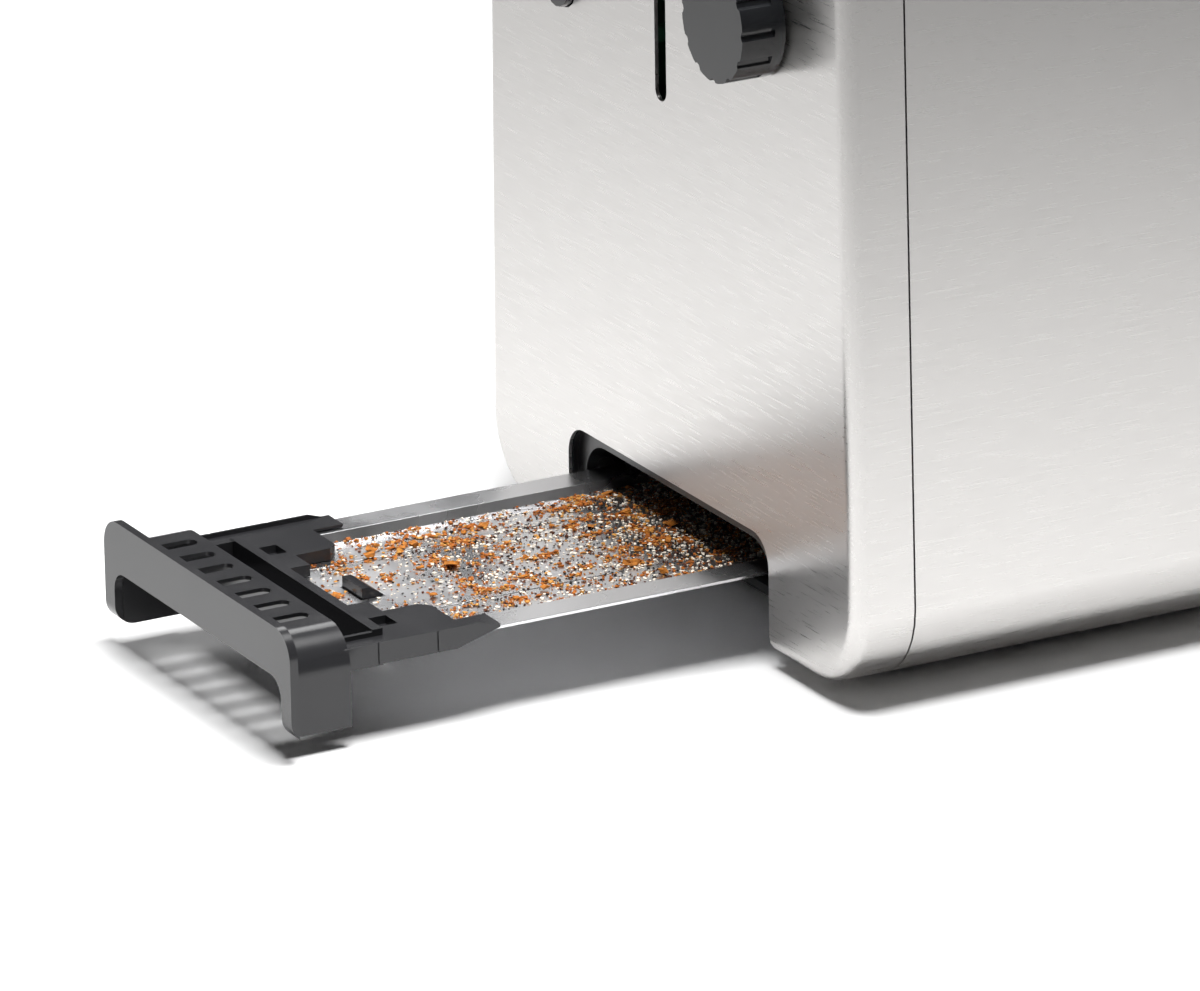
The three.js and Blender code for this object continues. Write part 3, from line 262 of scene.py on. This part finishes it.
for side in ("right", "left"):
    for face in ("inner", "outer"):
        node = f"guide_{side}_{face}"
        low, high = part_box(node)
        y = (low.y + high.y) / 2
        radius = (high.y - low.y) / 2
        bm = bmesh.new()
        for z in (low.z + RAIL_FROM_END, high.z - RAIL_FROM_END):
            add_rod(bm, (low.x, y, z), (high.x, y, z), radius)
        first, last = low.x + UPRIGHT_FROM_END, high.x - UPRIGHT_FROM_END
        for i in range(GUIDE_UPRIGHTS):
            x = first + (last - first) * i / (GUIDE_UPRIGHTS - 1)
            add_rod(bm, (x, y, low.z), (x, y, high.z), radius)
        refine(bm, 0, sharp=50)
        new_object(f"bread_guide_{side}_{face}", bm, nickel_wire, f"guide_{side[0]}{face[0]}", [node])

# ---------------------------------------------------------------- carriage
# The lift carriage, its two bread rests and the lever's arm are stamped from bright steel sheet
# and riveted together. They slide on a ground rod, and a drawn-wire spring pulls them up.
# Bright stamped steel: a little shinier than the chassis.
carriage_steel = sheet_steel("stamped_carriage_steel", "#BEC0C3", 0.3, 0.4, 0.2)
for part in ("lift_carriage", "bread_rest_right", "bread_rest_left", "lever_arm"):
    remade(part, carriage_steel, "carriage", 0.2)
remade("guide_rod", zinc_steel, "toaster", 0.4)
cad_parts["lift_spring"].data.materials.clear()
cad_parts["lift_spring"].data.materials.append(nickel_wire)

# ---------------------------------------------------------------- latch magnet
# The magnet that holds the carriage down is a bobbin of enamelled copper wire. Its turns lie one
# above another, drawn here as coarse as they need to be to show.
copper, tree, shader, place = material("enamelled_copper_winding", "#A4602C", 0.3, metallic=1.0)
turns = add(tree, "ShaderNodeTexWave", {"Vector": place, "Scale": 1 / (6 * MM), "Distortion": 0.3},
            wave_type="BANDS", bands_direction="Z")
raise_surface(tree, shader, turns.outputs["Fac"], 0.8, 0.3)
remade("latch_magnet", copper, "toaster", 1.2, 3)

# ---------------------------------------------------------------- control board and dial switch
# A glass-epoxy board with green solder mask carries a relay and three push switches. The dial
# turns a closed rotary switch in black nylon.
# Solder mask over copper tracks: satin green in two shades.
solder_mask, tree, shader, place = material("green_solder_mask", "#1E5B3B", 0.35, ior=1.55)
tracks = add(tree, "ShaderNodeTexVoronoi", {"Vector": place, "Scale": 1 / (6 * MM)}, distance="MANHATTAN")
tint = add(tree, "ShaderNodeValToRGB", {"Fac": tracks.outputs["Distance"]})
tint.color_ramp.elements[0].color = linear("#174A30")
tint.color_ramp.elements[1].color = linear("#2C7450")
tree.links.new(tint.outputs["Color"], shader.inputs["Base Color"])
remade("control_board", solder_mask, "toaster", 0.2)
remade("dial_switch", base_abs, "toaster", 0.8)

# ---------------------------------------------------------------- steel body
# The body is 1 mm stainless steel in three pressings: a cap at each end and a wrap between them.
# It is brushed with a belt along its length on the wrap and from side to side on the caps. The
# strokes, in millimetres, are drawn coarser than a real belt leaves them, so that they show.
STROKE_WIDTH = 0.4
STROKE_LENGTH = 11


def brushed_stainless(name):
    """Belt-brushed stainless steel: highlights spread across the strokes, which show faintly."""
    made, tree, shader, place = material(name, "#C8C6C4", 0.3, metallic=1.0)
    shader.inputs["Anisotropic"].default_value = 0.55
    long = STROKE_WIDTH / STROKE_LENGTH
    normal = add(tree, "ShaderNodeTexCoord").outputs["Normal"]
    facing = add(tree, "ShaderNodeSeparateXYZ", {"Vector": normal})
    end_on = add(tree, "ShaderNodeMath", {0: facing.outputs["X"]}, operation="ABSOLUTE")
    is_face = add(tree, "ShaderNodeMapRange", {"Value": end_on.outputs["Value"], "From Min": 0.6,
                                               "From Max": 0.8})
    strokes = []
    for scale in ((long, 1.0, 1.0), (1.0, long, 1.0)):
        stretched = add(tree, "ShaderNodeMapping", {"Vector": place, "Scale": scale})
        strokes.append(add(tree, "ShaderNodeTexNoise", {"Vector": stretched.outputs["Vector"],
                                                        "Scale": 1 / (STROKE_WIDTH * MM), "Detail": 5.0,
                                                        "Roughness": 0.6}))
    mixed = add(tree, "ShaderNodeMix", {"Factor": is_face.outputs["Result"], "A": strokes[0].outputs["Fac"],
                                        "B": strokes[1].outputs["Fac"]})
    spread_roughness(tree, shader, mixed.outputs["Result"], 0.25, 0.37)
    raise_surface(tree, shader, mixed.outputs["Result"], 0.055, 0.02)
    along = add(tree, "ShaderNodeMix", {"Factor": is_face.outputs["Result"]}, data_type="VECTOR")
    along.inputs["A"].default_value = (1, 0, 0)
    along.inputs["B"].default_value = (0, 1, 0)
    tree.links.new(along.outputs["Result"], shader.inputs["Tangent"])
    return made


body_steel = brushed_stainless("brushed_stainless_steel")
for part in ("front_end_cap", "rear_end_cap", "body_wrap"):
    remade(part, body_steel, "toaster", 0, sharp=40)

# ---------------------------------------------------------------- slot frame, liner and gland
# The frame round the bread slots is glass-filled nylon, polished. The liner behind the steel edge
# of the tray's opening is the same black ABS as the base. The gland is rubber.
# Polished nylon: dark, with soft clear highlights.
frame_nylon = moulded_plastic("slot_frame_nylon", "#17181A", 0.22, 0.6, 0.15)
remade("top_slot_frame", frame_nylon, "toaster", 0.5, 3)
# Semi-gloss ABS, kept darker than the handle because little light reaches it.
liner_abs = moulded_plastic("liner_black_abs", "#151516", 0.3, 0.5, 0.2)
remade("tray_liner", liner_abs, "toaster", 0.3)
remade("cord_gland", foot_rubber, "toaster", 0.4)

# ---------------------------------------------------------------- controls
# Lever knob, browning dial and three buttons are moulded in black ABS with a polished surface.
# Polished ABS: sharp highlights on the rounded edges.
control_abs = moulded_plastic("polished_black_abs", "#1A1B1D", 0.18, 0.6, 0.1)
remade("lever_knob", control_abs, "carriage", 1.6, 4)
remade("browning_dial", control_abs, "dial", 0)
for number, body in ((1, "button_lower"), (2, "button_middle"), (3, "button_upper")):
    remade(f"button_{number}", control_abs, body, 0.5, 2)

# ---------------------------------------------------------------- crumb tray
# The handle is one black ABS moulding that clips on the front of the tray. The pan is pressed from
# bright tin-plated sheet with two creases along its floor, so it mirrors what stands over it.
# Semi-gloss ABS: dark grey in the light, with an even sheen on its broad faces.
tray_abs = moulded_plastic("tray_handle_abs", "#2C2C2E", 0.2, 0.6, 0.12)
remade("tray_handle", tray_abs, "tray", 0.2, 2, sharp=40)

# Tin plate stays bright and a little soft. A thin dark line along each of the two creases is painted shade,
# put into the colour where the grooves' own shading should fall.
PAN_COLOUR = "#E4E4E6"
CREASE_SHADE_COLOUR = "#3A3836"
CREASE_FROM_MIDDLE = 20.2 * MM
CREASE_SHADE_CORE = 0.2 * MM
CREASE_EDGE = 0.4 * MM
pan_steel = sheet_steel("bright_tinplate", PAN_COLOUR, 0.27, 0.6, 0.1)
tree, shader = pan_steel.node_tree, pan_steel.node_tree.nodes["Principled BSDF"]
across = add(tree, "ShaderNodeSeparateXYZ", {"Vector": add(tree, "ShaderNodeTexCoord").outputs["Object"]})
from_middle = add(tree, "ShaderNodeMath", {0: across.outputs["Y"]}, operation="ABSOLUTE")
from_crease = add(tree, "ShaderNodeMath", {0: from_middle.outputs["Value"], 1: CREASE_FROM_MIDDLE},
                  operation="SUBTRACT")
beside = add(tree, "ShaderNodeMath", {0: from_crease.outputs["Value"]}, operation="ABSOLUTE")
# Painted shade: the colour goes dark right along each crease and fades back to tin within a fraction of a
# millimetre.
unshaded = add(tree, "ShaderNodeMapRange", {"Value": beside.outputs["Value"], "From Min": CREASE_SHADE_CORE,
                                         "From Max": CREASE_EDGE})
tint = add(tree, "ShaderNodeValToRGB", {"Fac": unshaded.outputs["Result"]})
tint.color_ramp.elements[0].color = linear(CREASE_SHADE_COLOUR)
tint.color_ramp.elements[1].color = linear(PAN_COLOUR)
tree.links.new(tint.outputs["Color"], shader.inputs["Base Color"])
remade("tray_pan", pan_steel, "tray", 0.12, 2, sharp=20)

# ---------------------------------------------------------------- crumbs
# Toast crumbs lie on the pan, dense where the slots were above it and thin by the handle. Most are
# pale or charred grains under a millimetre. Brown grains and a few flakes lie in clumps.

# Each kind has its name, colour, number of grains, smallest and largest size in millimetres, and
# whether it lies in clumps.
CRUMB_KINDS = (
    ("toast_crumb_cream", "#F4EADA", 3400, 0.24, 0.58, False),
    ("toast_crumb_grey", "#CFC6BA", 800, 0.24, 0.50, False),
    ("toast_crumb_tan", "#C68C40", 3600, 0.22, 0.60, True),
    ("toast_crumb_brown", "#A65C16", 5600, 0.24, 0.68, True),
    ("toast_crumb_dark", "#55290F", 2600, 0.20, 0.52, False),
    ("toast_crumb_char", "#17110E", 2300, 0.18, 0.44, False),
    ("toast_flake", "#AE6A1E", 90, 0.90, 1.80, True),
)
CLUMPS = 150
CLUMP_HALF_LENGTH = (1.2, 2.6)     # the least, and how much more the longest has, in millimetres
CLUMP_HALF_WIDTH = (0.8, 1.6)
FAR_FROM_CLUMPS = 9.0              # squared distance in clump sizes past which a clump has no pull
STRAY_SHARE = 0.05                 # clumping grains that lie outside every clump
DENSITY_BY_HANDLE = 0.2
DENSITY_GAIN = 1.3                 # from the handle to the far end
FLATNESS = 0.45                    # a grain's height against its width
PILED_SHARE = 0.15
PILE_HEIGHT = 0.4 * MM
FIELD_HALF_WIDTH = 35.0 * MM
PAN_DEPTH = 2.4 * MM
rng = np.random.default_rng(12)
pan_low, pan_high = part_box("tray_pan")
handle_low, handle_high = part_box("tray_handle")
pan_floor = pan_high.z - PAN_DEPTH

# What the handle covers, measured back from its front: the wedge, the short pads, the long pads.
field_x = (handle_low.x + 35 * MM, pan_high.x - 4 * MM)
wedge_x = (handle_low.x + 42.4 * MM, handle_low.x + 49.4 * MM)
wedge_half_width = 6 * MM
short_pad_end, short_pad_inner = handle_low.x + 39.8 * MM, 15 * MM
long_pad_end, long_pad_inner = handle_low.x + 52 * MM, 23 * MM


def grain_shape():
    """One rough grain as an operator makes it: its corners and its three-cornered faces."""
    bm = bmesh.new()
    bmesh.ops.create_cube(bm, size=1.25)
    bmesh.ops.triangulate(bm, faces=bm.faces)
    corners = np.array([v.co for v in bm.verts])
    faces = np.array([[v.index for v in f.verts] for f in bm.faces])
    bm.free()
    return corners, faces


def allowed(x, y):
    """True for places on the pan's floor that no part of the handle covers."""
    off_wedge = (x < wedge_x[0]) | (x > wedge_x[1]) | (np.abs(y) > wedge_half_width)
    off_short_pad = (x > short_pad_end) | (np.abs(y) < short_pad_inner)
    off_long_pad = (x > long_pad_end) | (np.abs(y) < long_pad_inner)
    return off_wedge & off_short_pad & off_long_pad


def places(count, clumped):
    """Random places for grains: thin by the handle, dense past the middle, in clumps if asked."""
    reach = field_x[1] - field_x[0]
    xs, ys = [], []
    total = 0
    while total < count:
        x = field_x[0] + reach * rng.random(4 * count)
        y = (2 * rng.random(4 * count) - 1) * FIELD_HALF_WIDTH
        along = (x - field_x[0]) / reach
        keep = rng.random(len(x)) < np.clip(DENSITY_BY_HANDLE + DENSITY_GAIN * along, 0, 1)
        if clumped:
            distance = np.full(len(x), FAR_FROM_CLUMPS)
            for cx, cy, rx, ry in clumps:
                distance = np.minimum(distance, ((x - cx) / rx) ** 2 + ((y - cy) / ry) ** 2)
            keep &= rng.random(len(x)) < np.exp(-distance) + STRAY_SHARE
        keep &= allowed(x, y)
        xs.append(x[keep])
        ys.append(y[keep])
        total += keep.sum()
    return np.concatenate(xs)[:count], np.concatenate(ys)[:count]


clump_x = field_x[0] + (field_x[1] - field_x[0]) * rng.random(CLUMPS)
clump_y = (2 * rng.random(CLUMPS) - 1) * FIELD_HALF_WIDTH
clump_rx = (CLUMP_HALF_LENGTH[0] + CLUMP_HALF_LENGTH[1] * rng.random(CLUMPS)) * MM
clump_ry = (CLUMP_HALF_WIDTH[0] + CLUMP_HALF_WIDTH[1] * rng.random(CLUMPS)) * MM
clumps = list(zip(clump_x, clump_y, clump_rx, clump_ry))

for name, colour, count, small, large, clumped in CRUMB_KINDS:
    corners, faces = grain_shape()
    x, y = places(count, clumped)
    size = (small + (large - small) * rng.random(count) ** 2) * MM
    turns = rng.normal(size=(count, 3, 3))
    turns, _ = np.linalg.qr(turns)
    stretch = 0.55 + 0.9 * rng.random((count, 1, 3))
    rough = 1 + 0.25 * rng.normal(size=(count, len(corners), 3))
    shaped = (corners[None] * rough * stretch) @ turns * size[:, None, None]
    shaped[:, :, 2] *= FLATNESS
    lift = -shaped[:, :, 2].min(axis=1)
    pile = np.where(rng.random(count) < PILED_SHARE, rng.random(count) * PILE_HEIGHT, 0)
    shaped += np.stack([x, y, pan_floor + lift + pile], axis=1)[:, None, :]
    mesh = bpy.data.meshes.new(name)
    mesh.from_pydata(shaped.reshape(-1, 3).tolist(), [],
                     (faces[None] + len(corners) * np.arange(count)[:, None, None]).reshape(-1, 3).tolist())
    # Dry toast: dull, with its colour uneven from grain to grain.
    crumb, tree, shader, place = material(name + "_toast", colour, 0.8, ior=1.45)
    toast = add(tree, "ShaderNodeTexNoise", {"Vector": place, "Scale": 1 / (1.1 * MM), "Detail": 2.0})
    tint = add(tree, "ShaderNodeHueSaturation", {"Color": linear(colour)})
    spread = add(tree, "ShaderNodeMapRange", {"Value": toast.outputs["Fac"], "From Min": 0.3,
                                              "From Max": 0.7, "To Min": 0.65, "To Max": 1.3})
    tree.links.new(spread.outputs["Result"], tint.inputs["Value"])
    tree.links.new(tint.outputs["Color"], shader.inputs["Base Color"])
    mesh.materials.append(crumb)
    grains = bpy.data.objects.new(name + "_grains", mesh)
    bpy.context.collection.objects.link(grains)
    bm = bmesh.new()
    bm.from_mesh(mesh)
    bmesh.ops.recalc_face_normals(bm, faces=bm.faces)
    bm.to_mesh(mesh)
    bm.free()
    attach(grains, "tray")

# ---------------------------------------------------------------- studio
# A pale matt floor under two soft lights, one over the tray and one behind the toaster. The floor
# fades away from them, and the steel shows that as a slow gradient. A third light, far back on the
# left, is only mirrored by the bright pan and the steel.
floor_paint, tree, shader, place = material("pale_studio_floor", "#F6F6F6", 0.9)
shader.inputs["Specular IOR Level"].default_value = 0.1
bm = bmesh.new()
bmesh.ops.create_grid(bm, x_segments=1, y_segments=1, size=6)
floor = new_object("studio_floor", bm, floor_paint)

# The camera looks down on the tray's corner from over two metres away.
CAMERA_LENS = 294.4
CAMERA_AT = (-1.19847, -2.03374, 0.84616)
CAMERA_YAW, CAMERA_PITCH, CAMERA_ROLL = 61.7796, 19.4030, -0.9505
camera_data = bpy.data.cameras.new("main_camera")
camera_data.lens = CAMERA_LENS
camera_data.sensor_width = 36
camera_data.clip_end = 50
camera = bpy.data.objects.new("main_camera", camera_data)
bpy.context.collection.objects.link(camera)
yaw, pitch, roll = (math.radians(turn) for turn in (CAMERA_YAW, CAMERA_PITCH, CAMERA_ROLL))
ahead = Vector((math.cos(pitch) * math.cos(yaw), math.cos(pitch) * math.sin(yaw), -math.sin(pitch)))
right = ahead.cross(Vector((0, 0, 1))).normalized()
up = right.cross(ahead)
turned_right = math.cos(roll) * right + math.sin(roll) * up
turned_up = math.cos(roll) * up - math.sin(roll) * right
camera.matrix_world = Matrix.Translation(CAMERA_AT) @ Matrix(
    (turned_right, turned_up, -ahead)).transposed().to_4x4()
bpy.context.scene.camera = camera

world = bpy.data.worlds.new("studio_air")
world.use_nodes = True
bpy.context.scene.world = world
world.node_tree.nodes["Background"].inputs["Color"].default_value = (0.03, 0.03, 0.03, 1)
world.node_tree.nodes["Background"].inputs["Strength"].default_value = 1.0
bpy.context.scene.view_settings.view_transform = "Standard"


def softbox(name, place, target, width, length, power):
    """A soft studio light that faces a point; returns it."""
    data = bpy.data.lights.new(name, "AREA")
    data.shape = "RECTANGLE"
    data.size, data.size_y, data.energy = width, length, power
    lamp = bpy.data.objects.new(name, data)
    lamp.location = place
    lamp.rotation_euler = (Vector(target) - Vector(place)).to_track_quat("-Z", "Y").to_euler()
    bpy.context.collection.objects.link(lamp)
    return lamp


softbox("main_softbox", (-0.12, -0.10, 0.8), (-0.12, -0.10, 0), 0.38, 0.38, 12)
softbox("back_softbox", (0.2, 0.85, 0.8), (0.2, 0.85, 0), 0.7, 0.7, 6)
# This one is a reflection only, and leaves the floor's shadows alone.
sheen = softbox("left_softbox", (-0.75, 1.35, 0.55), (-0.15, 0, 0.05), 1.2, 0.8, 4.0)
sheen.visible_diffuse = False
